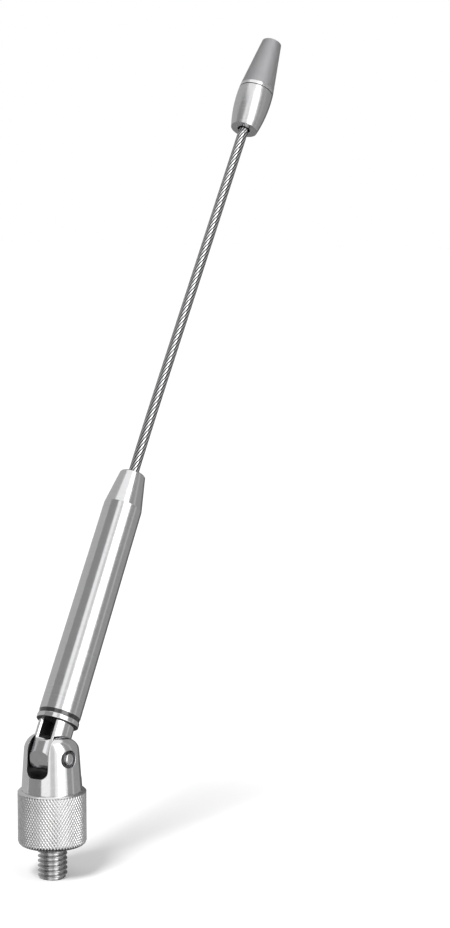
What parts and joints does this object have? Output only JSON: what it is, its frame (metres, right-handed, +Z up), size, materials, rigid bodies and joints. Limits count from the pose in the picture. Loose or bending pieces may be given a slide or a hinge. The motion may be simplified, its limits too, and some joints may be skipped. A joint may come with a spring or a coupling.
{
  "type": "car mast aerial",
  "caption": "Short car mast aerial with a stranded steel cable, a turned metal tip, a metal tube and a tilting knuckle on a knurled base.",
  "frame": {"origin": "on the stud's axis, on the lower face of the knurled collar that seats on the car", "axes": "+Z up the stud's axis, +X along the hinge pin, +Y the way the mast leans back"},
  "size_m": [0.014, 0.1022, 0.1731],
  "materials": {
    "stud_steel": "rolled thread, bright",
    "knurled_aluminium": "fine diamond knurl",
    "polished_metal": "polished",
    "pin_steel": "satin with domed ends",
    "washer_plastic": "plain",
    "black_plastic": "gloss",
    "satin_aluminium": "satin, turned",
    "contact_brass": "plain",
    "coil_wire": "enamelled wire",
    "white_plastic": "plain",
    "cable_steel": "stranded wire",
    "ferrule_steel": "crimped"
  },
  "bodies": {
    "base": {"threaded_stud": "stud_steel", "knurled_collar": "knurled_aluminium", "fork": "polished_metal", "hinge_pin": "pin_steel", "retaining_rings": "pin_steel", "friction_washers": "washer_plastic"},
    "mast": {"knuckle": "polished_metal", "insulating_bush": "black_plastic", "mast_tube": "satin_aluminium", "lower_contact": "contact_brass", "coil_former": "white_plastic", "loading_coil": "coil_wire", "upper_contact": "contact_brass", "cable_ferrule": "ferrule_steel", "nose_bush": "white_plastic", "nose_cone": "satin_aluminium", "cable": "cable_steel", "tip_ferrule": "ferrule_steel", "tip_lower": "satin_aluminium", "tip_cap": "satin_aluminium"}
  },
  "joints": [
    {"name": "mast_tilt", "type": "hinge", "parent": "base", "child": "mast", "pos_m": [0, -0.0017, 0.0185], "axis": [-1, 0, 0], "range_deg": [-32, 58]}
  ]
}
